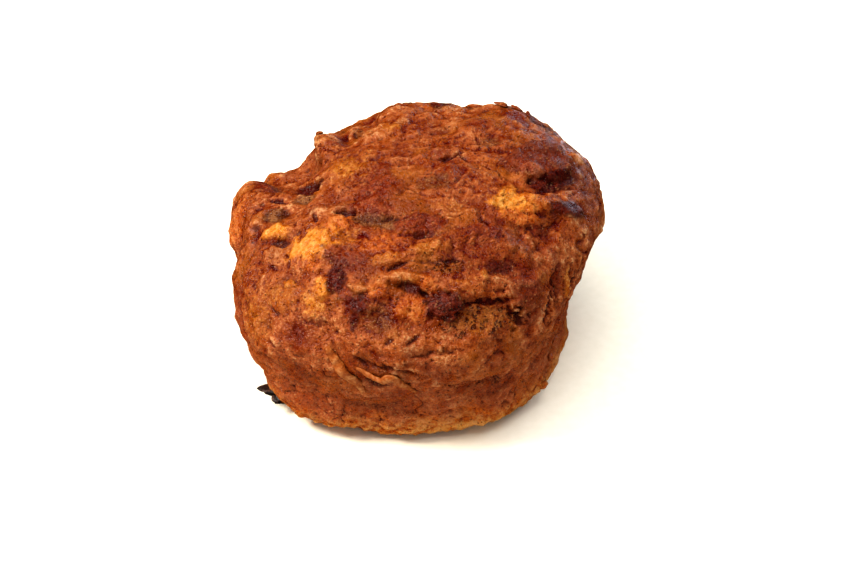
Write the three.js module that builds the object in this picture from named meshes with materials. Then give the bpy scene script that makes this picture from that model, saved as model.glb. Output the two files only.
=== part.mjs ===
// A fruit and carrot muffin, baked in a plain round cup and turned out: one solid of baked batter.
//
// Millimetres, +Z up. The origin is the centre of the flat underside, and the front is towards -Y.
// The body starts as a turned profile (flat foot, rounded foot edge, sloping wall, low dome). The crown is
// then tipped to one side, as batter rises in an oven that is hotter on one side, and the whole skin is
// pushed in and out along rays from a core point, first by named swellings and hollows, then by crumb noise.

import * as THREE from "three";
import { ImprovedNoise } from "three/addons/math/ImprovedNoise.js";

// Driving dimensions of the cup that shaped the wall.
const FOOT_RADIUS = 32.5;
const FOOT_ROUNDING = 6;
const RIM_RADIUS = 37;
const RIM_HEIGHT = 23;

// The risen crown.
const DOME_HEIGHT = 21;
const DOME_FULLNESS = 0.9; // under 1 gives squarer shoulders than an ellipse
const CROWN_LEAN_RIGHT = 4; // how much higher the right shoulder stands than the middle
const CROWN_LEAN_BACK = 0.5;

// The core point that every ray starts from.
const CORE = new THREE.Vector3(0, 0, 20);

// The skin is free to swell only above the foot, which the floor keeps flat.
const FREE_SKIN_FROM = 0.5;
const FREE_SKIN_FULL = 6;

// Swellings (+) and hollows (-). Bearing turns from the front towards the right, lift is the angle above
// the horizon seen from the core, spread is the angle where a swelling has faded to a third, all in degrees.
// Push is its depth in millimetres.
const SWELLINGS = [
  { name: "left shoulder", bearing: -97, lift: 22, spread: 13, push: 4.5 },
  { name: "front left belly", bearing: -50, lift: -4, spread: 20, push: 2 },
  { name: "front left foot", bearing: -42, lift: -30, spread: 16, push: 2.5 },
  { name: "front right foot", bearing: 20, lift: -30, spread: 18, push: -3 },
  { name: "low left wall", bearing: -84, lift: -4, spread: 14, push: -2.5 },
  { name: "hollow behind the left shoulder", bearing: -118, lift: 30, spread: 13, push: -4.5 },
  { name: "left brow of the crown", bearing: -132, lift: 40, spread: 10, push: 1.5 },
  { name: "back left crown", bearing: -162, lift: 50, spread: 15, push: 2.8 },
  { name: "back right crown", bearing: 130, lift: 37, spread: 20, push: 4 },
  { name: "right shoulder", bearing: 92, lift: 24, spread: 18, push: 3 },
  { name: "right wall", bearing: 80, lift: -4, spread: 11, push: -3 },
  { name: "right foot", bearing: 66, lift: -28, spread: 12, push: 1.5 },
];

// Crumb unevenness: each layer is noise of one lump size and one depth.
const CRUMB_LAYERS = [
  { lumpSize: 14, depth: 1.4 },
  { lumpSize: 6.5, depth: 0.9 },
];

// How finely the skin is divided.
const TURNS = 80;
const FOOT_STEPS = 4;
const ROUNDING_STEPS = 4;
const WALL_STEPS = 8;
const DOME_STEPS = 16;

const noise = new ImprovedNoise();

/** A soft step from 0 at low to 1 at high. */
function softStep(low, high, value) {
  return THREE.MathUtils.smoothstep(value, low, high);
}

/** The unit ray from the core at a bearing and a lift, in degrees. */
function rayAt(bearing, lift) {
  const turn = THREE.MathUtils.degToRad(bearing);
  const rise = THREE.MathUtils.degToRad(lift);
  return new THREE.Vector3(
    Math.sin(turn) * Math.cos(rise),
    -Math.cos(turn) * Math.cos(rise),
    Math.sin(rise),
  );
}

/** The half section of the turned body, from the middle of the foot to the top of the dome. */
function turnedProfile() {
  const points = [];
  for (let i = 0; i < FOOT_STEPS; i++) {
    points.push(new THREE.Vector2(((FOOT_RADIUS - FOOT_ROUNDING) * i) / FOOT_STEPS, 0));
  }
  for (let i = 0; i < ROUNDING_STEPS; i++) {
    const angle = (Math.PI / 2) * (i / ROUNDING_STEPS);
    points.push(
      new THREE.Vector2(
        FOOT_RADIUS - FOOT_ROUNDING * (1 - Math.sin(angle)),
        FOOT_ROUNDING * (1 - Math.cos(angle)),
      ),
    );
  }
  for (let i = 0; i < WALL_STEPS; i++) {
    const share = i / WALL_STEPS;
    points.push(
      new THREE.Vector2(
        THREE.MathUtils.lerp(FOOT_RADIUS, RIM_RADIUS, share),
        THREE.MathUtils.lerp(FOOT_ROUNDING, RIM_HEIGHT, share),
      ),
    );
  }
  for (let i = 0; i < DOME_STEPS; i++) {
    const angle = (Math.PI / 2) * (i / DOME_STEPS);
    points.push(
      new THREE.Vector2(
        RIM_RADIUS * Math.cos(angle) ** DOME_FULLNESS,
        RIM_HEIGHT + DOME_HEIGHT * Math.sin(angle),
      ),
    );
  }
  points.push(new THREE.Vector2(0, RIM_HEIGHT + DOME_HEIGHT));
  return points;
}

/** Tips the crown over: what stands higher moves more. */
function leanCrown(point) {
  const share = softStep(FOOT_ROUNDING, RIM_HEIGHT + DOME_HEIGHT, point.z);
  const rise = (CROWN_LEAN_RIGHT * point.x + CROWN_LEAN_BACK * point.y) / RIM_RADIUS;
  point.z += share * rise;
}

/** How far the skin stands out along a ray, from the named swellings and the crumb noise. */
function swellingAlong(ray, point) {
  let push = 0;
  for (const swelling of SWELLINGS) {
    const apart = THREE.MathUtils.radToDeg(ray.angleTo(rayAt(swelling.bearing, swelling.lift)));
    push += swelling.push * Math.exp(-((apart / swelling.spread) ** 2));
  }
  for (const { lumpSize, depth } of CRUMB_LAYERS) {
    push += depth * noise.noise(point.x / lumpSize, point.y / lumpSize, point.z / lumpSize);
  }
  return push;
}

/** The one closed skin of the muffin. */
function muffinGeometry() {
  const geometry = new THREE.LatheGeometry(turnedProfile(), TURNS);
  geometry.rotateX(Math.PI / 2);
  const places = geometry.getAttribute("position");
  const point = new THREE.Vector3();
  for (let i = 0; i < places.count; i++) {
    point.fromBufferAttribute(places, i);
    const free = softStep(FREE_SKIN_FROM, FREE_SKIN_FULL, point.z);
    leanCrown(point);
    const ray = point.clone().sub(CORE).normalize();
    point.addScaledVector(ray, free * swellingAlong(ray, point));
    places.setXYZ(i, point.x, point.y, point.z);
  }
  geometry.computeVertexNormals();
  return geometry;
}

const crust = new THREE.MeshStandardMaterial({ color: 0x9c5526, roughness: 0.55, metalness: 0 });

const muffin = new THREE.Mesh(muffinGeometry(), crust);
muffin.name = "muffin";

const part = new THREE.Group();
part.add(muffin);

export default part;
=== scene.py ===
"""The looks of a fruit and carrot muffin: its crust, its fruit and raisins, its loose shreds, and the studio.

Lengths are in metres in Blender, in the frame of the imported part: +Z up, the flat foot on z = 0 and the front
towards -Y. The sculpting works in millimetres, because every lump of crumb is a few millimetres across.
"""

import logging
import math
import random
from dataclasses import dataclass
from dataclasses import field
from enum import Enum
from typing import Optional
from typing import Sequence
from typing import Union

import bmesh
import bpy
import numpy as np
from mathutils import Matrix
from mathutils import Vector
from mathutils import noise
from mathutils.bvhtree import BVHTree


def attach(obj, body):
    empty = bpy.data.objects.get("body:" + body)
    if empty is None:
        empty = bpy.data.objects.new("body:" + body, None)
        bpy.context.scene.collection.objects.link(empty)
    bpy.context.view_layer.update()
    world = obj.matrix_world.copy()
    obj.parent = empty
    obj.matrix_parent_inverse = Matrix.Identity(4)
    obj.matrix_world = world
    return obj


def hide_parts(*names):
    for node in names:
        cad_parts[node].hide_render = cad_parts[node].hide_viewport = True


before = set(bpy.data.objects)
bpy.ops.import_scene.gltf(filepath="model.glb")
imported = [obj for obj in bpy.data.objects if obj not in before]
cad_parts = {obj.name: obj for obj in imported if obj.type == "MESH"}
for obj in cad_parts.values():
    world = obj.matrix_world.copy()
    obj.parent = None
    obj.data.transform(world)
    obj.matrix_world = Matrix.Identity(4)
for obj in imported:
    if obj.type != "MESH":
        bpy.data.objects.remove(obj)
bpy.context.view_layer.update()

LOG = logging.getLogger("muffin")
MM = 0.001
COLOUR_RESULT = 2  # a Mix node's outputs are a number, a vector and a colour
BROAD_WOBBLE = 6.0  # how large the raggedness of an outline is, in millimetres
FINE_WOBBLE = 1.6
DIRECTION_PASSES = 12  # how often the skin's directions are eased before spots are pressed along them
FINE_RELIEF_PASSES = 6  # how often the skin is eased to find the small lumps and pits in it
BROAD_RELIEF_PASSES = 60  # how often it is eased to find the large ones
UNSEEN_SEED = 7  # where the chance numbers of the sides and the back start
Rows = np.ndarray
Socket = bpy.types.NodeSocket
Colour = tuple[float, float, float, float]


# ---------------------------------------------------------------- places on the muffin


@dataclass(frozen=True)
class Globe:
    """Directions from the muffin's core, on a globe tipped back so that its equator crosses the front crown.

    East is counted to the right from the middle of the front, and north up towards the back of the crown.

    Attributes:
        core: The middle of the globe, in millimetres.
        tip: How far the globe is tipped back, in degrees.
    """

    core: tuple[float, float, float] = (0.0, 0.0, 20.0)
    tip: float = 39.0

    def turned(self, x: float, y: float, z: float) -> Vector:
        """The direction (x, y, z) of the upright globe, tipped back."""
        return Matrix.Rotation(math.radians(-self.tip), 3, "X") @ Vector((x, y, z))

    def ray(self, east: float, north: float) -> Vector:
        """The direction at a place on the globe.

        Args:
            east: The east of the place, in degrees.
            north: Its north, in degrees.

        Returns:
            A unit vector.
        """
        turn = math.radians(east)
        rise = math.radians(north)
        return self.turned(math.sin(turn) * math.cos(rise), -math.cos(turn) * math.cos(rise), math.sin(rise))

    def eastward(self, ray: Vector) -> Vector:
        """The unit direction that points east where a ray leaves the globe."""
        return self.turned(0, 0, 1).cross(ray).normalized()


class Look(Enum):
    """What a spot on the muffin shows. Each one but CRUST is painted into the skin as an attribute."""

    CRUST = "crust"
    FRUIT = "fruit"
    CARROT = "carrot"
    RAISIN = "raisin"
    WINE = "wine"
    AMBER = "amber"
    PALE = "pale"
    OLIVE = "olive"
    CRUMB = "crumb"
    # Holes, cracks, creases, pores and grooves, darkened with painted shade in the crust's colour
    SHADED_HOLLOW = "hollow"
    GLOSS = "gloss"


@dataclass(frozen=True)
class Spot:
    """A lump, a hollow, a crack or a patch of colour on the skin.

    Attributes:
        name: What it is.
        look: What it shows.
        east: Where its middle is on the globe, in degrees.
        north: Where its middle is on the globe, in degrees.
        long: Half its length, in millimetres.
        across: Half its width, in millimetres.
        turn: How far its length is turned counterclockwise from east, in degrees.
        rise: How far its middle stands out of the skin, in millimetres.
        strength: How strongly it is painted, from 0 to 1.
        edge: The share of its size over which it fades.
        ragged: How uneven its outline is.
        bend: How far its ends are bent to one side, as a share of its width.
        waver: How far a crack strays from a straight line, in millimetres.
        moat: How deep a groove runs round it, in millimetres. The groove is also darkened with painted shade.
    """

    name: str
    look: Look
    east: float
    north: float
    long: float
    across: float
    turn: float = 0.0
    rise: float = 0.0
    strength: float = 1.0
    edge: float = 0.5
    ragged: float = 0.3
    bend: float = 0.0
    waver: float = 0.0
    moat: float = 0.0


def soft_step(low: float, high: float, values: Rows) -> Rows:
    """A smooth step from 0 at low to 1 at high, for whole arrays."""
    share = np.clip((values - low) / (high - low), 0.0, 1.0)
    return share * share * (3.0 - 2.0 * share)


def noise_at(places: Rows, size: float, octaves: float = 3.0) -> Rows:
    """Smooth noise from about -1 to 1 with lumps of one size.

    Args:
        places: Rows of x, y, z in millimetres.
        size: How large one lump is, in millimetres.
        octaves: How many finer layers are added.

    Returns:
        One value for each row.
    """
    return np.array([noise.fractal(row, 1.0, 2.0, octaves) for row in (places / size).tolist()])


def pores_at(places: Rows, size: float, share: float) -> Rows:
    """Round pores: 1 in the middle of a pore and 0 outside it.

    Args:
        places: Rows of x, y, z in millimetres.
        size: The usual distance between two pores.
        share: How many of the places for a pore have one, from 0 to 1.

    Returns:
        One value for each row.
    """
    found = []
    for row in (places / size).tolist():
        distances, points = noise.voronoi(row)
        present = noise.cell(points[0] * 7.0) * 0.5 + 0.5 < share
        found.append(distances[0] if present else 1.0)
    return 1.0 - soft_step(0.02, 0.22, np.array(found))


# ---------------------------------------------------------------- the sculpted skin


class Skin:
    """A closed mesh held as arrays in millimetres, so that its points can be pushed like clay."""

    def __init__(self, mesh: bpy.types.Mesh, globe: Globe) -> None:
        """Reads the mesh.

        Args:
            mesh: The mesh whose points are sculpted.
            globe: The globe that spots are placed on.
        """
        self.mesh = mesh
        self.globe = globe
        count = len(mesh.vertices)
        self.places = self.read("co") / MM
        edges = np.zeros(len(mesh.edges) * 2, np.int64)
        mesh.edges.foreach_get("vertices", edges)
        edges = edges.reshape(-1, 2)
        ends = np.concatenate([edges, edges[:, ::-1]])
        ends = ends[np.argsort(ends[:, 0], kind="stable")]
        valences = np.bincount(ends[:, 0], minlength=count)
        firsts = np.cumsum(valences) - valences
        # Each row lists the neighbours of a vertex, filled up with the vertex itself.
        self.neighbours = np.tile(np.arange(count)[:, None], (1, valences.max()))
        self.neighbours[ends[:, 0], np.arange(len(ends)) - firsts[ends[:, 0]]] = ends[:, 1]
        self.paint = {look: np.zeros(count) for look in Look if look is not Look.CRUST}

    def read(self, name: str) -> Rows:
        """Reads a property of every vertex that is three numbers.

        Args:
            name: The property's name.

        Returns:
            A row for each vertex.
        """
        rows = np.zeros(len(self.mesh.vertices) * 3)
        self.mesh.vertices.foreach_get(name, rows)
        return rows.reshape(-1, 3)

    def write(self) -> None:
        """Puts the sculpted places back into the mesh."""
        self.mesh.vertices.foreach_set("co", (self.places * MM).ravel())
        self.mesh.update()

    def normals(self) -> Rows:
        """The outward direction of the skin at every vertex."""
        self.write()
        return self.read("normal")

    def eased(self, values: Rows, passes: int) -> Rows:
        """Averages values with their neighbours' values.

        Args:
            values: One value or row for each vertex.
            passes: How often they are averaged.

        Returns:
            The averaged values.
        """
        for _ in range(passes):
            values = (values + values[self.neighbours].mean(axis=1)) / 2.0
        return values

    def relief(self, passes: int, normals: Rows) -> Rows:
        """How far each vertex stands out of the skin eased a number of times, in millimetres."""
        return ((self.places - self.eased(self.places, passes)) * normals).sum(axis=1)

    def hold_foot(self) -> None:
        """Keeps every point on or above the surface that the muffin stands on."""
        self.places[:, 2] = np.maximum(self.places[:, 2], 0.0)

    def free_of_foot(self, height: float) -> Rows:
        """0 on the flat foot, rising to 1 at a height in millimetres."""
        return soft_step(0.0, height, self.places[:, 2])

    def swell(self, amounts: Rows, normals: Rows) -> None:
        """Pushes the skin out along its normals by amounts in millimetres."""
        self.places = self.places + normals * amounts[:, None]
        self.hold_foot()

    def deepen(self, look: Look, shares: Rows) -> None:
        """Paints a look with shares from 0 to 1, wherever they are stronger than its paint so far."""
        np.maximum(self.paint[look], shares, out=self.paint[look])

    def spot_share(self, spot: Spot, normals: Rows, wobble: Rows) -> Rows:
        """How strongly a spot acts on each vertex, from 0 to 1.

        Args:
            spot: The spot.
            normals: The outward direction of the eased skin at every vertex.
            wobble: Noise that makes the spot's outline ragged.

        Returns:
            One value for each vertex.
        """
        ray = self.globe.ray(spot.east, spot.north)
        offsets = self.places - np.array(self.globe.core)
        reach = np.linalg.norm(offsets, axis=1)
        middle = int(np.argmax(offsets @ np.array(ray) / reach))
        outward = Vector(normals[middle])
        east = self.globe.eastward(ray)
        east = (east - outward * east.dot(outward)).normalized()
        north = outward.cross(east)
        turn = math.radians(spot.turn)
        along = np.array(east * math.cos(turn) + north * math.sin(turn))
        aside = np.array(north * math.cos(turn) - east * math.sin(turn))
        apart = self.places - self.places[middle]
        u = apart @ along / spot.long
        v = (apart @ aside + spot.waver * wobble) / spot.across - spot.bend * u * u
        depth = apart @ np.array(outward) / max(spot.long, spot.across)
        distance = np.sqrt(u * u + v * v + (0.5 * depth) ** 2) + spot.ragged * wobble
        return 1.0 - soft_step(1.0 - spot.edge, 1.0 + spot.edge, distance)

    def press(self, spots: Sequence[Spot], wobble_size: float) -> None:
        """Pushes and paints a list of spots.

        Args:
            spots: The spots, pressed in order.
            wobble_size: How large the raggedness of their outlines is, in millimetres.
        """
        normals = self.normals()
        broad = self.eased(normals, DIRECTION_PASSES)
        broad /= np.linalg.norm(broad, axis=1)[:, None]
        wobble = noise_at(self.places, wobble_size)
        free = self.free_of_foot(2.0)
        amounts = np.zeros(len(self.places))
        for spot in spots:
            share = self.spot_share(spot, broad, wobble)
            rim = np.clip(4.0 * share * (1.0 - share), 0.0, 1.0) ** 2
            amounts += share * spot.rise - rim * spot.moat
            # The groove round the spot is darkened with painted shade, like a hollow.
            self.deepen(Look.SHADED_HOLLOW, min(1.0, 1.6 * spot.moat) * rim)
            if spot.look is not Look.CRUST:
                self.deepen(spot.look, share * spot.strength)
        self.swell(amounts * free, broad)

    def store(self, name: str, values: Rows) -> None:
        """Keeps one value for each vertex as an attribute that a material can read."""
        layer = self.mesh.attributes.new(name, "FLOAT", "POINT")
        layer.data.foreach_set("value", values.astype(np.float32))

    def finish(self) -> None:
        """Stores the relief and the paint for the material, and writes the skin back into the mesh."""
        normals = self.normals()
        self.store("relief_fine", np.clip(self.relief(FINE_RELIEF_PASSES, normals) * 2.0, -1.0, 1.0))
        self.store("relief_broad", np.clip(self.relief(BROAD_RELIEF_PASSES, normals), -1.0, 1.0))
        for look, layer in self.paint.items():
            self.store(look.value, layer)
        self.write()


# ---------------------------------------------------------------- shader maths


class Level:
    """A number that varies over a surface: a socket that can be added, multiplied and subtracted."""

    def __init__(self, shader: "Shader", socket: Socket) -> None:
        """Wraps a socket of a shader."""
        self.shader = shader
        self.socket = socket

    def maths(self, operation: str, first: "Number", second: "Number") -> "Level":
        """A Math node on two values."""
        made = self.shader.node("ShaderNodeMath", {"operation": operation}, {0: first, 1: second})
        return Level(self.shader, made.outputs[0])

    def __add__(self, other: "Number") -> "Level":
        """self + other."""
        return self.maths("ADD", self, other)

    def __radd__(self, other: "Number") -> "Level":
        """other + self."""
        return self.maths("ADD", other, self)

    def __sub__(self, other: "Number") -> "Level":
        """self - other."""
        return self.maths("SUBTRACT", self, other)

    def __rsub__(self, other: "Number") -> "Level":
        """other - self."""
        return self.maths("SUBTRACT", other, self)

    def __mul__(self, other: "Number") -> "Level":
        """self * other."""
        return self.maths("MULTIPLY", self, other)

    def __rmul__(self, other: "Number") -> "Level":
        """other * self."""
        return self.maths("MULTIPLY", other, self)

    def between(self, low: float, high: float) -> "Level":
        """A smooth step of this level, from 0 at low to 1 at high."""
        made = self.shader.node(
            "ShaderNodeMapRange",
            {"interpolation_type": "SMOOTHSTEP", "clamp": True},
            {"Value": self, "From Min": low, "From Max": high, "To Min": 0.0, "To Max": 1.0},
        )
        return Level(self.shader, made.outputs["Result"])


Number = Union[Level, float]
Feed = Union[Level, Socket, float, tuple, Vector]
Feeds = dict[Union[str, int], Feed]
Stops = Sequence[tuple[float, str]]


def colour(code: str) -> Colour:
    """Reads a colour.

    Args:
        code: Its six-digit hex code.

    Returns:
        The linear colour with full alpha.
    """
    parts = [int(code[i : i + 2], 16) / 255.0 for i in (0, 2, 4)]
    linear = [part / 12.92 if part <= 0.04045 else ((part + 0.055) / 1.055) ** 2.4 for part in parts]
    return (linear[0], linear[1], linear[2], 1.0)


class Shader:
    """A material with one principled shader, and the nodes that feed it."""

    def __init__(self, name: str) -> None:
        """Starts a material.

        Args:
            name: The material's name.
        """
        self.material = bpy.data.materials.new(name)
        self.material.use_nodes = True
        self.tree = self.material.node_tree
        self.tree.nodes.clear()
        self.surface = self.node("ShaderNodeBsdfPrincipled", {}, {})
        self.node("ShaderNodeOutputMaterial", {}, {"Surface": self.surface.outputs["BSDF"]})
        self.places = self.node("ShaderNodeTexCoord", {}, {}).outputs["Object"]

    def node(self, kind: str, settings: dict[str, object], feeds: Feeds) -> bpy.types.Node:
        """Adds a node.

        Args:
            kind: The node's type.
            settings: Its properties, which are set first. A ramp's stops are a setting too.
            feeds: A value or a link for each socket, by its identifier, its name or its number.

        Returns:
            The node.
        """
        made = self.tree.nodes.new(kind)
        for name, setting in settings.items():
            if name == "stops":
                self.place_stops(made.color_ramp.elements, setting)
            else:
                setattr(made, name, setting)
        self.feed(made, feeds)
        return made

    def place_stops(self, elements: bpy.types.ColorRampElements, stops: Stops) -> None:
        """Places a ramp's stops.

        Args:
            elements: The ramp's own stops, of which a new ramp has two.
            stops: The place and the hex code of each stop.
        """
        while len(elements) < len(stops):
            elements.new(1.0)
        for element, (place, code) in zip(elements, stops):
            element.position = place
            element.color = colour(code)

    def feed(self, made: bpy.types.Node, feeds: Feeds) -> None:
        """Sets or links a node's sockets.

        Args:
            made: The node.
            feeds: A value or a link for each socket, by its identifier, its name or its number.
        """
        by_identifier = {socket.identifier: socket for socket in made.inputs}
        for key, feed in feeds.items():
            target = by_identifier[key] if key in by_identifier else made.inputs[key]
            source = feed.socket if isinstance(feed, Level) else feed
            if isinstance(source, bpy.types.NodeSocket):
                self.tree.links.new(source, target)
            else:
                target.default_value = source

    def set(self, feeds: Feeds) -> None:
        """Sets or links sockets of the principled shader, by name."""
        self.feed(self.surface, feeds)

    def attribute(self, name: str) -> Level:
        """A value that was painted on the skin."""
        made = self.node("ShaderNodeAttribute", {"attribute_type": "GEOMETRY", "attribute_name": name}, {})
        return Level(self, made.outputs["Fac"])

    def shifted(self, x: float, y: float, z: float) -> Socket:
        """The object's places moved by some millimetres, to draw another piece of a pattern."""
        feeds = {"Vector": self.places, "Location": Vector((x, y, z)) * MM}
        return self.node("ShaderNodeMapping", {"vector_type": "POINT"}, feeds).outputs["Vector"]

    def height(self) -> Level:
        """How high a place is above the foot, in millimetres."""
        made = self.node("ShaderNodeSeparateXYZ", {}, {"Vector": self.places})
        return Level(self, made.outputs["Z"]) * (1.0 / MM)

    def grain(
        self, size: float, detail: float, rough: float = 0.55, places: Optional[Socket] = None
    ) -> Level:
        """Adds noise.

        Args:
            size: How large its grains are, in millimetres.
            detail: How many finer layers it has.
            rough: How strong the finer layers are, from 0 to 1.
            places: Where the noise is read, or the object's own places.

        Returns:
            Numbers from about 0.3 to 0.7.
        """
        feeds = {"Scale": 1.0 / (size * MM), "Detail": detail, "Roughness": rough}
        feeds["Vector"] = places or self.places
        return Level(self, self.node("ShaderNodeTexNoise", {"noise_dimensions": "3D"}, feeds).outputs["Fac"])

    def cells(self, size: float, places: Socket) -> Level:
        """The distance to the middle of the nearest cell, with cells of a size in millimetres."""
        made = self.node(
            "ShaderNodeTexVoronoi",
            {"feature": "F1", "voronoi_dimensions": "3D"},
            {"Vector": places, "Scale": 1.0 / (size * MM), "Randomness": 1.0},
        )
        return Level(self, made.outputs["Distance"])

    def mixed(self, factor: Number, first: Feed, second: Feed) -> Socket:
        """One colour over another, by how much of the second one shows."""
        made = self.node(
            "ShaderNodeMix",
            {"data_type": "RGBA", "blend_type": "MIX", "clamp_factor": True},
            {"Factor_Float": factor, "A_Color": first, "B_Color": second},
        )
        return made.outputs[COLOUR_RESULT]

    def ramp(self, level: Level, stops: Stops) -> Socket:
        """A colour for each value of a level, blended between stops of a place and a hex code."""
        return self.node("ShaderNodeValToRGB", {"stops": stops}, {"Fac": level}).outputs["Color"]

    def bumped(self, height: Level, strength: float = 1.0) -> None:
        """Feeds the shader's normal from heights in millimetres."""
        made = self.node("ShaderNodeBump", {}, {"Height": height, "Distance": MM, "Strength": strength})
        self.set({"Normal": made.outputs["Normal"]})


# ---------------------------------------------------------------- finishes


@dataclass(frozen=True)
class Patch:
    """What a kind of spot looks like.

    Attributes:
        look: The kind of spot.
        codes: Its dark, usual and light colour.
        cover: How much of the crust it hides.
        grit: How broken up its outline is.
        mottle: How strongly its three colours vary.
    """

    look: Look
    codes: tuple[str, str, str]
    cover: float
    grit: float = 1.0
    mottle: float = 1.0


class Grains:
    """Noise of four sizes, each from about 0.3 to 0.7, that the crust's colour, relief and gloss share."""

    def __init__(self, shader: Shader) -> None:
        """Adds the noise to a material."""
        self.broad = shader.grain(11.0, 3.0)
        self.middle = shader.grain(3.6, 4.0, 0.6, shader.shifted(31, 7, 19))
        self.small = shader.grain(1.2, 3.0, 0.6, shader.shifted(5, 43, 11))
        self.tiny = shader.grain(0.45, 2.0, 0.6, shader.shifted(17, 3, 29))


@dataclass(frozen=True)
class CrustFinish:
    """Baked crust: caramel brown, darker in its pits by painted shade, with fruit, raisins and carrot showing
    through.

    Attributes:
        name: The material's name.
        tone_stops: The plain crust's colours, from its darkest to its lightest.
        foot_stops: The pale foot's colours, made paler in part as painted light.
        patches: What the kinds of spots look like, each laid over the ones before it.
    """

    name: str = "baked_crust"
    tone_stops: Stops = (
        (0.0, "3d0301"),
        (0.14, "510d02"),
        (0.3, "632303"),
        (0.45, "713008"),
        (0.6, "7f3c14"),
        (0.75, "8c4920"),
        (0.88, "99582f"),
        (1.0, "aa774e"),
    )
    foot_stops: Stops = ((0.2, "8a3402"), (0.5, "b05e10"), (0.8, "c89048"))
    patches: tuple[Patch, ...] = (
        Patch(Look.PALE, ("7a3e18", "925428", "ac7e58"), 0.65),
        Patch(Look.OLIVE, ("301206", "502a0e", "78502c"), 0.75),
        Patch(Look.CRUMB, ("3e0b02", "662c04", "965c22"), 0.6),
        Patch(Look.AMBER, ("703203", "8e4a0a", "ac7434"), 0.8),
        Patch(Look.CARROT, ("702403", "944406", "b06a32"), 0.8),
        Patch(Look.FRUIT, ("98480a", "b0681c", "c49048"), 0.9, 0.8, 0.65),
        Patch(Look.WINE, ("400301", "5a1703", "7a3412"), 0.85, 0.6),
        Patch(Look.RAISIN, ("180101", "360201", "5a1805"), 0.95, 0.4),
    )

    def make(self) -> bpy.types.Material:
        """Builds the material.

        Returns:
            The material.
        """
        shader = Shader(self.name)
        grains = Grains(shader)
        small, tiny = grains.small, grains.tiny
        base = self.patched(shader, self.baked(shader, grains), grains)
        # Painted shade: the skin's holes, cracks, creases, pores and grooves are darkened.
        hollow = shader.attribute("hollow") + 0.3 * (small - 0.5)
        base = shader.mixed(hollow.between(0.3, 0.9) * 0.68, base, colour("3a0803"))
        # Painted shade: pits in the fine relief are darkened.
        pits = (0.0 - shader.attribute("relief_fine")).between(0.08, 0.35)
        base = shader.mixed(pits * 0.35, base, colour("380a02"))
        # Painted shade: small sunken pits are darkened.
        shaded_small_pits = 1.0 - (shader.cells(1.0, shader.shifted(3, 3, 3)) + 0.5 * (tiny - 0.5)).between(0.08, 0.24)
        base = shader.mixed(shaded_small_pits * 0.5, base, colour("380802"))
        # Painted shade: the torn holes of open crumb are darkened as well as sunk.
        holes = self.torn_holes(shader, grains)
        base = shader.mixed(holes * 0.65, base, colour("300802"))
        # Painted glints: tiny pale dots on the crumb stand in for specular highlights.
        painted_glints = 1.0 - (shader.cells(0.7, shader.shifted(13, 53, 23)) + 0.6 * (tiny - 0.5)).between(0.08, 0.34)
        painted_glints = painted_glints * grains.middle.between(0.44, 0.58)
        base = shader.mixed(painted_glints * 0.28, base, colour("c4925c"))
        heights = 0.42 * small + 0.32 * tiny + 0.2 * grains.middle
        shader.bumped(heights - 0.14 * shaded_small_pits + 0.06 * painted_glints - 0.5 * holes)
        shader.set({"Base Color": base})
        self.glaze(shader, grains)
        return shader.material

    def baked(self, shader: Shader, grains: Grains) -> Socket:
        """Colours the plain crust: mottled brown, golden and ruddy in places, lighter on lumps and darker in
        hollows as painted light and shade, lighter low on the wall as painted light, and pale at the foot,
        partly as painted light.

        Args:
            shader: The material being built.
            grains: Its noise.

        Returns:
            The colour.
        """
        # Painted light and shade: raised lumps are painted lighter and hollows darker from the stored relief.
        shade = (
            0.5
            + 1.1 * (grains.broad - 0.5)
            + 1.1 * (grains.middle - 0.5)
            + 0.9 * (grains.small - 0.5)
            + 1.0 * (grains.tiny - 0.5)
            + 0.25 * shader.attribute("relief_broad")
            + 0.7 * shader.attribute("relief_fine")
        )
        base = shader.ramp(shade, self.tone_stops)
        golden = shader.grain(7.0, 2.0, 0.5, shader.shifted(60, 20, 80)).between(0.5, 0.68)
        base = shader.mixed(golden * 0.35, base, colour("925414"))
        ruddy = shader.grain(6.0, 3.0, 0.5, shader.shifted(90, 10, 40)).between(0.52, 0.66)
        base = shader.mixed(ruddy * 0.45, base, colour("5a1a06"))
        # Painted light: the wall is painted lighter towards the foot, in place of light thrown up off the
        # floor.
        low = 1.0 - shader.height().between(6.0, 34.0)
        base = shader.mixed(low * 0.5, base, colour("944720"))
        # The foot's own pale crumb, painted paler still as painted light where the foot curves under into
        # shade.
        foot = 1.0 - (shader.height() + 8.0 * (grains.middle - 0.5)).between(2.0, 10.0)
        return shader.mixed(foot * 0.72, base, shader.ramp(shade, self.foot_stops))

    def patched(self, shader: Shader, base: Socket, grains: Grains) -> Socket:
        """Lays the fruit, carrot, raisin and other patches over the plain crust.

        Args:
            shader: The material being built.
            base: The crust's colour.
            grains: The material's noise.

        Returns:
            The crust's colour with the patches on it.
        """
        grit = 0.8 * (grains.small - 0.5) + 0.3 * (grains.tiny - 0.5)
        mottle = 1.3 * (grains.small - 0.5) + 1.0 * (grains.tiny - 0.5)
        for patch in self.patches:
            share = shader.attribute(patch.look.value)
            mask = (share + patch.grit * grit).between(0.2, 0.85)
            tone = 0.4 + patch.mottle * mottle + 0.45 * (share - 0.6)
            dark, usual, light = patch.codes
            tint = shader.ramp(tone, ((0.15, dark), (0.45, usual), (0.8, light)))
            base = shader.mixed(mask * patch.cover, base, tint)
        return base

    def torn_holes(self, shader: Shader, grains: Grains) -> Level:
        """Finds the small holes between the threads of torn crumb.

        Args:
            shader: The material being built.
            grains: Its noise.

        Returns:
            1 in a hole and 0 outside it.
        """
        torn = (shader.attribute("crumb") + 0.9 * (grains.middle - 0.5)).between(0.3, 0.7)
        gaps = shader.cells(1.2, shader.shifted(41, 23, 7))
        gaps = gaps + 1.4 * (grains.tiny - 0.5) + 0.8 * (grains.small - 0.5)
        return torn * (1.0 - gaps.between(0.12, 0.4))

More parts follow.
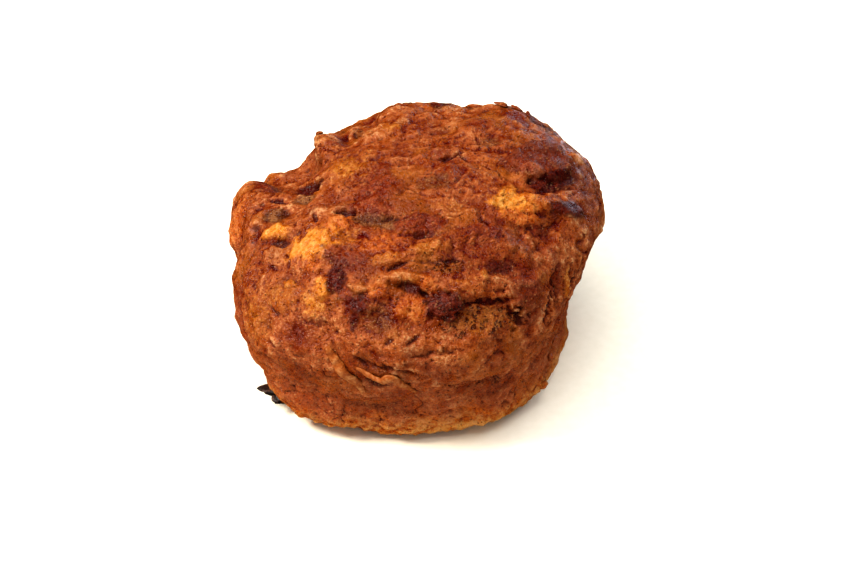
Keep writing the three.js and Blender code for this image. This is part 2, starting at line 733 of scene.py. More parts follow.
    def glaze(self, shader: Shader, grains: Grains) -> None:
        """Sets the crust's gloss, its wet coat and its faint glow of light under the skin.

        Args:
            shader: The material being built.
            grains: Its noise.
        """
        small, middle = grains.small - 0.5, grains.middle - 0.5
        raisin = shader.attribute("raisin").between(0.3, 0.7)
        fruit = shader.attribute("fruit").between(0.3, 0.7)
        glint = grains.tiny.between(0.56, 0.7)
        wet = shader.attribute("gloss") + 0.8 * middle + 0.5 * small
        shader.set(
            {
                "Roughness": 0.42 + 0.9 * small + 0.9 * middle - 0.04 * raisin - 0.08 * fruit - 0.3 * glint,
                "Specular IOR Level": 0.22,
                "Coat Weight": wet.between(0.1, 0.9) * 0.5,
                "Coat Roughness": 0.28,
                "Coat IOR": 1.4,
                "Subsurface Weight": 0.08,
                "Subsurface Radius": (1.0, 0.4, 0.15),
                "Subsurface Scale": 0.0015,
            }
        )


@dataclass(frozen=True)
class ShredFinish:
    """A carrot shred baked into the crust: orange brown, glossy, with fibres."""

    name: str = "baked_carrot"

    def make(self) -> bpy.types.Material:
        """Builds the material.

        Returns:
            The material.
        """
        shader = Shader(self.name)
        small = shader.grain(1.4, 3.0, 0.6)
        tiny = shader.grain(0.45, 2.0, 0.6)
        tone = 0.5 + 1.3 * (small - 0.5) + 0.8 * (tiny - 0.5)
        base = shader.ramp(tone, ((0.1, "622404"), (0.5, "8a4818"), (0.9, "a87244")))
        shader.bumped(0.3 * small + 0.15 * tiny, 0.8)
        shader.set({"Base Color": base, "Roughness": 0.45 + 0.4 * (small - 0.5), "Specular IOR Level": 0.2})
        return shader.material


@dataclass(frozen=True)
class ScorchFinish:
    """A scrap of batter burnt black."""

    name: str = "scorched_batter"

    def make(self) -> bpy.types.Material:
        """Builds the material.

        Returns:
            The material.
        """
        shader = Shader(self.name)
        small = shader.grain(0.8, 3.0, 0.6)
        base = shader.ramp(small, ((0.35, "120b09"), (0.55, "2c1b14"), (0.7, "5a3826")))
        shader.bumped(0.3 * small, 0.9)
        shader.set({"Base Color": base, "Roughness": 0.5 + 0.3 * (small - 0.5), "Specular IOR Level": 0.4})
        return shader.material


@dataclass(frozen=True)
class FloorFinish:
    """Plain pale studio paper with the faintest tooth."""

    name: str = "studio_paper"

    def make(self) -> bpy.types.Material:
        """Builds the material.

        Returns:
            The material.
        """
        shader = Shader(self.name)
        base = shader.ramp(shader.grain(2.0, 2.0), ((0.3, "f6f0dc"), (0.7, "fbf5e2")))
        shader.set({"Base Color": base, "Roughness": 0.8, "Specular IOR Level": 0.2})
        return shader.material


# ---------------------------------------------------------------- the spots that are on the muffin


def broad_form(name: str, *shape: float, edge: float = 0.95) -> Spot:
    """A soft swelling or hollow of the whole form, its shape given from its east to its rise."""
    return Spot(name, Look.CRUST, *shape, edge=edge, ragged=0.1)


def dent(name: str, *shape: float, edge: float = 0.4, **rest: float) -> Spot:
    """A hole, a slit or a crease, darkened with painted shade, its shape given from its east to its rise or its
    strength.
    """
    return Spot(name, Look.SHADED_HOLLOW, *shape, edge=edge, **rest)


def tint_and_painted_light(name: str, look: Look, *outline_and_strength: float) -> Spot:
    """Colour alone, which fades softly away all round, given from its east to its turn, and its strength: the
    crust's own tint in most places, and painted light and shade in a few.
    """
    return Spot(name, look, *outline_and_strength[:-1], 0.0, outline_and_strength[-1], edge=0.95)


def sheen(name: str, *outline_and_strength: float, edge: float = 0.8) -> Spot:
    """A wet, glossy place, given from its east to its turn, and its strength."""
    return Spot(name, Look.GLOSS, *outline_and_strength[:-1], 0.0, outline_and_strength[-1], edge=edge)


FORM_SPOTS = (
    broad_form("valley behind the left lobe", -100, 39, 14, 4.5, -5, -3.6),
    broad_form("valley before the left lobe", -78, 41, 9, 4, -20, -1.2),
    broad_form("left flank of the crown", -102, 69, 9, 5, 0, -3.2),
    broad_form("notch over the brow", -97, 62, 4, 1.8, 0, -2.2, edge=0.9),
    broad_form("brow over the valley", -88, 55, 4, 2.4, 0, 2.6, edge=0.9),
    broad_form("lump over the notch", -98, 67, 3.0, 2.0, 0, 0.6, edge=0.9),
    broad_form("step behind the notch", -126, 56, 3.2, 2.2, 0, -1.6, edge=0.9),
    broad_form("rise behind the valley", -112, 30, 2.6, 2.0, 0, 1.0),
    broad_form("dip in the back right top", 112, 79, 2.4, 1.6, 0, -1.0),
    broad_form("slope behind the valley", -116, 42, 3.5, 2.5, 0, 1.0),
    broad_form("dip under the top", -84, 77, 1.6, 1.4, 0, -0.7, edge=0.8),
    broad_form("edge of the top", -110, 81, 2.4, 1.4, 0, 0.7, edge=0.8),
    broad_form("back left top", -80, 78, 6, 3, 0, -0.8),
    broad_form("top of the left lobe", -90, 27, 5, 4, 0, 1.2, edge=0.9),
    broad_form("tuck under the left lobe", -88, -2, 8, 5, 0, -1.4),
    broad_form("drawn in right wall", 86, -14, 14, 9, 0, -2.2),
    broad_form("full left foot", -40, -58, 12, 4, -35, 0.9),
    broad_form("full front foot", 0, -68, 14, 4, 0, 0.8),
    broad_form("drawn in over the right foot", 74, -34, 8, 5, 0, -1.2),
    broad_form("full right foot", 52, -54, 12, 5, 20, 2.2),
)

# The fruit at the left, with the flap and the wall around it
LEFT_SPOTS = (
    Spot("fruit on the left", Look.FRUIT, -37, 6, 5.4, 3.8, 14, 0.45, 0.8, edge=0.6, ragged=0.5),
    Spot("bright middle of the fruit", Look.FRUIT, -42, 4, 2.4, 2.2, 8, 0.2, edge=0.8),
    Spot("orange edge of fruit", Look.CARROT, -30, 13.5, 3.0, 2.2, 50, 0.7, edge=0.4, ragged=0.5, moat=0.1),
    Spot("yellow under the orange edge", Look.FRUIT, -31, 11, 3.0, 2.0, 20, 0.0, 0.5, edge=0.9),
    Spot("amber tail of the fruit", Look.AMBER, -24, 9, 2.2, 2.4, 0, 0.2, 0.65),
    Spot("orange brown under the fruit", Look.CARROT, -36, -1, 3.4, 1.4, -10, 0.2, 0.6),
    Spot("orange band beside the fruit", Look.CARROT, -11, 5, 4.6, 2.4, 8, 0.5, 0.7, edge=0.7),
    dent("small hole in the fruit", -41, 17, 1.1, 0.55, -50, -0.5),
    dent("slit above the fruit", -29, 21.3, 2.1, 1.1, 4, -1.6, edge=0.3, ragged=0.15),
    # Painted shade: raisin colour darkens the inside of the slit.
    Spot("shade in the slit", Look.RAISIN, -29, 21.3, 2.1, 1.15, 4, 0.0, edge=0.35, ragged=0.15),
    Spot("pale flap", Look.AMBER, -55, 11, 3.4, 1.6, 22, 0.9, edge=0.4, bend=-0.3),
    # Painted highlight: fruit colour makes the top of the flap lighter.
    Spot("lit top of the flap", Look.FRUIT, -55, 11.2, 3.0, 1.3, 22, 0.0, 0.9, edge=0.6, bend=-0.3),
    dent("slit under the flap", -52, 6.5, 2.0, 0.65, 14, -0.9, waver=0.6),
    Spot("bubbly patch", Look.PALE, -51, 3, 3.0, 2.6, 0, 0.4, 0.7),
    Spot("seed in the wall", Look.AMBER, -42, -7, 1.5, 0.8, 0, 0.4, 0.9, moat=0.25),
    Spot("pale wall under the seed", Look.AMBER, -45, -10, 5.0, 2.4, -10, 0.3, 0.6, edge=0.8),
    Spot("amber on the left", Look.AMBER, -32, -13, 2.6, 2.6, 0, 0.4),
    Spot("yellow in the amber", Look.FRUIT, -33, -13, 1.6, 1.4, 40, 0.2, 0.6, edge=0.8),
    Spot("amber above it", Look.FRUIT, -29.5, -8, 1.9, 1.9, 0, 0.4, 0.7, edge=0.7, ragged=0.6),
    Spot("orange left wall", Look.AMBER, -54, -15, 5.5, 6.5, 0, 0.0, 0.62, edge=0.9),
    dent("crease low on the left", -31, -19, 2.4, 0.5, -8, -0.4, 0.6, edge=0.6, bend=0.5, waver=0.7),
    Spot("lump over that crease", Look.CRUST, -31, -17, 2.2, 1.5, -4, 0.5),
    dent("hole low on the left wall", -52, -28, 1.1, 0.7, -10, -0.9, 0.9),
    dent("crease on the left wall", -46, -14, 1.8, 0.5, -24, -0.45, 0.7, edge=0.6, waver=0.7),
    Spot("fold on the left wall", Look.PALE, -50, -20, 4.0, 1.0, -30, 0.6, 0.3),
)

# The left lobe and the valley behind it
LOBE_SPOTS = (
    dent("slit in the lobe", -66, 24, 2.0, 0.6, 17, -0.8, waver=0.5),
    dent("hollow behind the lobe", -60, 33, 2.8, 1.7, 12, -1.5, edge=0.5),
    # Painted shade: raisin colour darkens the hollow.
    Spot("shade in the hollow", Look.RAISIN, -61, 33, 3.0, 1.9, 12, 0.0, 0.9),
    dent("tail of the hollow", -73, 35, 2.6, 0.5, 4, -0.6, 0.8),
    dent("eye beside the hollow", -57, 37, 1.2, 0.6, 75, -0.7),
    Spot("olive floor of the hollow", Look.OLIVE, -56, 27.5, 2.4, 1.5, 20, -0.4),
    Spot("grey patch in the lobe", Look.OLIVE, -60, 17.5, 3.0, 1.9, 20, -0.5),
    Spot("dark side of the grey patch", Look.RAISIN, -58, 18.5, 1.6, 1.2, 40, 0.0, 0.6),
    dent("hole in the grey patch", -58, 20, 0.9, 0.9, 0, -0.3, 0.7),
    dent("small pit in the lobe", -65, 12, 1.0, 0.7, 0, -0.35, 0.7, edge=0.5),
    Spot("orange rim of the lobe", Look.CARROT, -78, 14, 3.0, 5.0, 0, 0.4),
    Spot("red top of the lobe", Look.WINE, -82, 28, 4.2, 2.6, 20, 0.3, 0.8),
)

# The maroon band and the raisins under the left fruit
RAISIN_SPOTS = (
    Spot("maroon under the fruit", Look.WINE, -23, 1, 4.4, 1.9, -15, 0.3, edge=0.4, ragged=0.5),
    Spot("dark middle of that maroon", Look.RAISIN, -25, -1, 3.2, 1.4, -20, 0.0, 0.55, ragged=0.5),
    Spot("neck of the dark band", Look.WINE, -24, -3, 2.2, 1.6, 40, 0.2, 0.9),
    Spot("raisin on the left", Look.RAISIN, -25, -7, 1.8, 2.6, 10, 0.6, edge=0.4, ragged=0.5, moat=0.25),
    Spot("maroon beside that raisin", Look.WINE, -22, -10, 2.4, 1.4, -35, 0.2, 0.9),
    Spot("raisin under it", Look.RAISIN, -17, -14, 2.6, 1.9, -20, 0.6, 0.85, edge=0.4, ragged=0.5, moat=0.2),
    Spot("tail of that raisin", Look.RAISIN, -18, -18, 1.1, 2.2, -20, 0.3, 0.8, ragged=0.5),
    Spot("pale lip", Look.PALE, -17, -9, 2.3, 0.7, -10, 0.7, 0.9, bend=0.6, moat=0.2),
)

# The arch, the folds and the raisin in the middle of the front
MIDDLE_SPOTS = (
    Spot("arched ridge", Look.AMBER, -2, -6, 4.6, 1.1, -4, 0.8, 0.5, bend=-0.7, moat=0.15),
    Spot("orange right end of the arch", Look.CARROT, 6, -8, 1.6, 1.4, -50, 0.3, 0.8),
    Spot("orange end of the arch", Look.CARROT, -11, -10, 2.0, 1.2, 25, 0.3, 0.8),
    # Painted shade: raisin colour darkens the hollow under the arch.
    Spot("hollow under the arch", Look.RAISIN, 0, -9.5, 2.6, 1.0, -20, -0.4, 0.8, ragged=0.5, bend=-0.4),
    dent("hole in the middle", 4, -12, 0.9, 0.55, -30, -0.8),
    Spot("orange under the arch", Look.CARROT, 0, -16, 3.0, 2.6, 0, 0.5, 0.85),
    Spot("raisin in the middle", Look.RAISIN, 11, -15, 3.6, 2.5, 2, 0.7, edge=0.35, ragged=0.5, moat=0.2),
    dent("crack beside the raisin", 24, -14, 4.6, 0.5, 1, -0.5, 0.8, edge=0.5, waver=0.8),
    Spot("lip over the crack", Look.CARROT, 24, -12, 4.4, 0.7, 0, 0.5, 0.6, waver=0.6),
    Spot("amber in the middle", Look.AMBER, 18, -9, 3.6, 1.8, -4, 0.4, 0.5),
    Spot("torn point", Look.AMBER, 23, -6, 1.2, 0.8, 60, 0.7, 0.9),
    Spot("open crumb", Look.CRUMB, 21, -19, 7.6, 3.0, -1, -0.4),
    Spot("open crumb in the middle", Look.AMBER, -5, -20, 4.0, 3.0, 0, -0.3, 0.3, edge=0.8),
    Spot("olive crumb under the arch", Look.OLIVE, -10, -18, 3.4, 3.4, 0, -0.2, 0.6, edge=0.8),
    dent("torn pores", 34, -18, 2.8, 0.9, -35, -0.8, waver=1.4),
    Spot("golden fold", Look.AMBER, 6, 3, 3.8, 1.4, 3, 0.8, 0.7, moat=0.2),
    dent("crevice under the golden fold", 9, -1, 4.6, 0.5, -4, -0.45, 0.7, edge=0.5, waver=0.9),
    Spot("left golden fold", Look.AMBER, -8, 0, 3.2, 1.3, 3, 0.6, 0.7, moat=0.2),
    dent("crevice under the left fold", -5, -3, 2.4, 0.45, 16, -0.6, 0.9, waver=0.4),
    Spot("pores between the folds", Look.CRUMB, 12, -3, 3.0, 1.4, 0, -0.4),
    # Painted shade: raisin colour darkens the sunk fold.
    Spot("shaded fold", Look.RAISIN, 29, -4, 3.4, 1.4, -2, -0.4, 0.7),
    Spot("long golden lip", Look.CARROT, 25, -9, 6.5, 1.3, 0, 0.6, 0.3),
)

# The top of the crown
CROWN_SPOTS = (
    Spot("dark band on the crown", Look.WINE, 4, 12.5, 4.8, 2.3, -12, 0.9, 0.9, edge=0.35, ragged=0.35),
    Spot("dark top of that band", Look.RAISIN, 5, 15, 3.6, 1.1, -14, 0.0, 0.35),
    Spot("gold behind the dark band", Look.AMBER, 14, 20, 4.6, 1.6, -14, 0.2, 0.55, edge=0.8),
    dent("crevice under the dark band", 4, 7.5, 3.4, 0.5, -4, -0.5, 0.8, edge=0.5, waver=0.5),
    Spot("wet crevice on the crown", Look.OLIVE, -13, 16.5, 5.4, 1.8, -12, -0.6),
    # Painted shade: raisin colour darkens the floor of the crevice.
    Spot("dark floor of the wet crevice", Look.RAISIN, -15, 17, 4.4, 1.0, -12, -0.2, 0.55, ragged=0.6),
    Spot("maroon edge of the wet crevice", Look.WINE, -17, 23, 5.0, 1.9, -12, 0.4),
    dent("left hole in the wet crevice", -9, 17, 1.2, 0.55, 15, -0.7),
    dent("right hole in the wet crevice", -5, 16, 0.8, 0.45, -20, -0.6),
    Spot("red rise on the crown", Look.WINE, -16, 33, 3.4, 6.4, -5, 0.5, 0.8),
    tint_and_painted_light("golden left crown", Look.AMBER, -42, 47, 6.0, 5.0, 0, 0.75),
    Spot("red streak over the brow", Look.WINE, -73, 59, 2.8, 0.9, 71, 0.3, 0.8),
    dent("pit in the red streak", -59, 52, 0.8, 0.8, 7, -0.7),
    dent("left of the wrinkle", 20, 48, 2.0, 0.45, -40, -0.6, 0.7, edge=0.5, bend=0.3, waver=0.4),
    dent("right of the wrinkle", 30, 48, 2.2, 0.45, 8, -0.7, 0.8, edge=0.5, bend=-0.3, waver=0.4),
    dent("hook of the wrinkle", 35, 45, 1.4, 0.4, -80, -0.5, 0.8),
    Spot("lip over the wrinkle", Look.CRUST, 29, 53, 3.4, 1.2, -14, 0.6),
    Spot("olive patch on the crown", Look.OLIVE, 13, 33, 4.0, 2.6, -20, -0.3, 0.6),
    Spot("olive patch at the back", Look.OLIVE, 52, 48, 3.0, 2.0, -30, -0.2, 0.6),
    Spot("gold high on the crown", Look.AMBER, -31, 76, 2.4, 1.4, 3, 0.3, 0.7),
    Spot("rosy spot at the top", Look.PALE, -8, 80, 1.4, 1.4, 0, 0.3, 0.9),
    Spot("dark patch at the top", Look.WINE, 37, 71, 3.4, 3.0, -45, 0.0, 0.5),
    dent("dark pit near the edge", 75, 43, 1.0, 0.7, -30, -0.7, 0.9),
)

# The fruit, the raisin block and the grey raisin at the right, and the creased wall under them
RIGHT_SPOTS = (
    Spot("pale head of the fruit", Look.AMBER, 41, 23, 1.8, 1.2, -11, 0.3, 0.9),
    Spot("fruit on the right", Look.FRUIT, 39, 18, 4.0, 2.5, -10, 0.6, 0.9, edge=0.6, ragged=0.5),
    Spot("right side of that fruit", Look.FRUIT, 45, 18, 2.2, 1.4, -10, 0.3, 0.5),
    Spot("orange under it", Look.CARROT, 40, 12.5, 4.2, 1.6, -20, 0.5),
    Spot("orange beside it", Look.CARROT, 46, 16, 2.8, 2.0, -13, 0.4),
    Spot("maroon under the orange", Look.WINE, 46, 7, 2.6, 1.5, -25, -0.3, 0.8),
    Spot("raisin block", Look.WINE, 60, 30.5, 6.2, 4.8, -34, 2.0, edge=0.2, ragged=0.12, moat=0.3),
    Spot("dark top of the block", Look.RAISIN, 60, 32, 5.6, 4.2, -34, 0.0, 0.52, edge=0.2, ragged=0.2),
    # Painted light: amber colour makes the crown before the block lighter.
    tint_and_painted_light("lit crown before the block", Look.AMBER, 42, 36, 4.4, 3.6, -30, 0.45),
    # Painted shade: raisin colour darkens the block's front face, which is turned from the light.
    Spot("dark face of the block", Look.RAISIN, 58, 22.5, 6.0, 1.6, -6, -0.2, 0.9, edge=0.35, ragged=0.2),
    dent("crevice under the block", 56, 19.5, 5.4, 0.45, -8, -0.5, 0.5, edge=0.5, waver=0.4),
    dent("hole by the block", 51, 25, 0.9, 0.7, -16, -0.9),
    Spot("grey glossy raisin", Look.RAISIN, 57, 13, 4.4, 2.0, -19, 0.6, 0.85, moat=0.12),
    Spot("purple brown crown edge", Look.WINE, 33, 5, 5.8, 2.2, -27, 0.6, 0.4),
    Spot("dark point of that edge", Look.WINE, 27, 8, 2.6, 1.4, -25, 0.3, ragged=0.5),
    Spot("yellow on the right wall", Look.AMBER, 42, -7, 1.6, 1.8, 0, 0.2, 0.8),
    dent("upper crease", 49, -10, 3.8, 0.6, 95, -0.7, 0.7, edge=0.5, waver=1.2),
    dent("lower crease", 46, -16, 3.0, 0.5, 88, -0.6, 0.7, edge=0.5, waver=1.2),
    dent("outer crease", 58, -12, 4.0, 0.6, 80, -0.7, 0.7, edge=0.5, waver=1.2),
    Spot("flap on the right wall", Look.AMBER, 54, -9, 0.8, 3.2, 2, 0.8, 0.9, moat=0.3),
    Spot("maroon beside that flap", Look.WINE, 49, -8, 1.6, 3.2, 2, -0.6),
)

# The low front: the slits, the hollows behind the shreds and the ledge
LOW_SPOTS = (
    dent("left slit at the front", -7, -24, 1.3, 0.5, 35, -0.6, 0.9, edge=0.45),
    dent("right slit at the front", 0, -24, 1.6, 0.45, 35, -0.65, 0.95, edge=0.45),
    dent("crack over the ledge", 9, -28, 4.4, 0.45, 9, -0.35, 0.7, edge=0.6, waver=0.7),
    dent("hollow over the shreds", -10, -32, 3.4, 0.8, 4, -0.7, 0.7, edge=0.6, waver=0.8),
    dent("left end of that hollow", -18, -31, 1.8, 0.5, -50, -0.6, 0.8, edge=0.5),
    dent("right end of that hollow", -2, -34, 2.2, 0.7, -25, -0.7, 0.7, edge=0.5),
    # Painted shade: raisin colour darkens the hollow between the shreds.
    Spot("hollow between the shreds", Look.RAISIN, -14, -40, 2.2, 1.8, 0, -0.6, 0.8),
    Spot("ledge", Look.CRUST, 24, -33, 12, 3.6, -7, 0.9, edge=0.6, ragged=0.15),
    dent("crease under the ledge", 31, -39, 4.2, 0.4, 11, -0.6, 0.7, edge=0.5, waver=0.7),
    Spot("pores under the ledge", Look.CRUMB, 26, -44, 8.0, 2.4, -4, -0.2, 0.5),
    Spot("hollow under the ledge", Look.CRUST, 24, -45, 9.0, 2.4, -5, -0.3),
    Spot("swelling under the left shred", Look.CARROT, -27, -36, 5.6, 1.6, -80, 0.45, 0.4, edge=0.8),
    Spot("swelling under the middle shred", Look.CARROT, -9, -36, 4.8, 1.5, -18, 0.45, 0.4, edge=0.8),
)

# Gloss, and soft tints of the crust; the brown between the shreds is painted shade
SOFT_SPOTS = (
    sheen("sheen right of the block", 74, 24, 3.4, 7.0, 0, 1.0),
    sheen("sheen on the right shoulder", 84, 34, 6, 5, 0, 0.8),
    sheen("sheen on the crown edge", 36, 4.5, 5.0, 1.8, -28, 0.8),
    sheen("sheen on the grey raisin", 59, 14, 2.6, 1.4, -19, 0.6, edge=0.9),
    sheen("sheen on the left lobe", -68, 10, 5, 7, 0, 0.35, edge=0.9),
    sheen("sheen on the fruit", -37, 7, 5.0, 4.0, 8, 0.4, edge=0.7),
    tint_and_painted_light("brown front", Look.RAISIN, 18, -16, 15, 7, 0, 0.34),
    tint_and_painted_light("brown low left wall", Look.WINE, -48, -36, 8, 7, 0, 0.3),
    tint_and_painted_light("brown beside the raisin", Look.RAISIN, 13, -21, 6, 4, 0, 0.38),
    # Painted shade: raisin colour darkens the crust around the shreds.
    tint_and_painted_light("brown between the shreds", Look.RAISIN, -11, -33, 7, 4, 0, 0.48),
    tint_and_painted_light("brown under the shreds", Look.WINE, -12, -48, 13, 4, 0, 0.4),
    tint_and_painted_light("brown behind the folds", Look.RAISIN, 13, -2, 7, 3, 0, 0.45),
    tint_and_painted_light("brown right of the middle", Look.WINE, 38, -10, 4, 6, 0, 0.8),
    tint_and_painted_light("brown left of the middle", Look.WINE, -12, 28, 5, 5, 0, 0.6),
    Spot("brown around the block", Look.WINE, 64, 24, 6, 8, 0, 0.0, 0.6, edge=0.9),
    tint_and_painted_light("brown middle of the crown", Look.WINE, 2, 22, 10, 4, 10, 0.45),
    tint_and_painted_light("brown under the fruit", Look.RAISIN, -18, -1, 8, 3, -10, 0.4),
)

FRONT_SPOTS = (
    *LEFT_SPOTS,
    *LOBE_SPOTS,
    *RAISIN_SPOTS,
    *MIDDLE_SPOTS,
    *CROWN_SPOTS,
    *RIGHT_SPOTS,
    *LOW_SPOTS,
    *SOFT_SPOTS,
)


@dataclass(frozen=True)
class Scatter:
    """A number of like spots that are scattered over the sides and the back.

    Attributes:
        look: What they show.
        count: How many there are.
        size: Half their usual length, in millimetres.
        rise: How far their middles stand out, in millimetres.
        strength: How strongly they are painted.
    """

    look: Look
    count: int
    size: float
    rise: float
    strength: float

    def spots(self, globe: Globe, chance: random.Random) -> list[Spot]:
        """Places the spots, none of them on the front or the foot.

        Args:
            globe: The globe that they are placed on.
            chance: Where the chance numbers come from.

        Returns:
            The spots.
        """
        found = []
        while len(found) < self.count:
            east = chance.uniform(-180.0, 180.0)
            north = math.degrees(math.asin(chance.uniform(-1.0, 1.0)))
            ray = globe.ray(east, north)
            if ray.dot(globe.ray(0, 0)) > 0.02 or ray.z < -0.42:
                continue
            long = self.size * chance.uniform(0.7, 1.3)
            across = long * chance.uniform(0.4, 0.8)
            turn = chance.uniform(0.0, 180.0)
            name = f"unseen {self.look.value} {len(found) + 1}"
            found.append(Spot(name, self.look, east, north, long, across, turn, self.rise, self.strength))
        return found


UNSEEN = (
    Scatter(Look.FRUIT, 5, 3.6, 0.7, 0.95),
    Scatter(Look.CARROT, 9, 3.2, 0.5, 0.75),
    Scatter(Look.RAISIN, 7, 3.2, 0.7, 0.9),
    Scatter(Look.RAISIN, 6, 7.0, 0.0, 0.42),
    Scatter(Look.AMBER, 8, 3.4, 0.3, 0.75),
    Scatter(Look.OLIVE, 6, 3.2, -0.3, 0.7),
    Scatter(Look.PALE, 5, 3.6, 0.2, 0.5),
    Scatter(Look.CRUMB, 4, 5.0, -0.4, 0.8),
    # Holes darkened with painted shade.
    Scatter(Look.SHADED_HOLLOW, 12, 1.2, -0.8, 1.0),
)


# ---------------------------------------------------------------- the muffin's own pieces


def smooth_mesh(shape: bmesh.types.BMesh, name: str) -> bpy.types.Mesh:
    """Makes a smooth mesh of a finished shape.

    Args:
        shape: The shape, which is freed.
        name: The mesh's name.

    Returns:
        The mesh.
    """
    for face in shape.faces:
        face.smooth = True
    mesh = bpy.data.meshes.new(name)
    shape.to_mesh(mesh)
    shape.free()
    return mesh


def put_in_scene(name: str, data: bpy.types.ID) -> bpy.types.Object:
    """Adds an object to the scene.

    Args:
        name: Its name.
        data: The mesh, lamp or camera that it holds.

    Returns:
        The object.
    """
    made = bpy.data.objects.new(name, data)
    bpy.context.scene.collection.objects.link(made)
    return made


def adopt(mesh: bpy.types.Mesh, finish: bpy.types.Material) -> bpy.types.Object:
    """Makes a mesh a piece of the muffin that rides with its body.

    Args:
        mesh: The mesh, which gives the piece its name.
        finish: Its material.

    Returns:
        The piece.
    """
    mesh.materials.append(finish)
    piece = put_in_scene(mesh.name, mesh)
    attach(piece, "root")
    return piece


@dataclass(frozen=True)
class Crumb:
    """A layer of uneven crumb all over the skin.

    Attributes:
        size: How large one lump is, in millimetres.
        height: How high it stands, in millimetres.
        octaves: How many finer layers are added.
        shift: How far the layer's noise is moved, in millimetres, so that it repeats no other layer.
    """

    size: float
    height: float
    octaves: float
    shift: float

    def heights(self, places: Rows) -> Rows:
        """How far the layer lifts each of the places, in millimetres."""
        return self.height * noise_at(places + self.shift, self.size, self.octaves)


BROAD_LUMPS = Crumb(9.0, 0.9, 2.0, 0.0)
SMALL_LUMPS = Crumb(4.2, 0.5, 2.0, 50.0)
CRAGS = Crumb(1.9, 0.24, 3.0, 20.0)
GRIT = Crumb(0.95, 0.08, 2.0, 60.0)


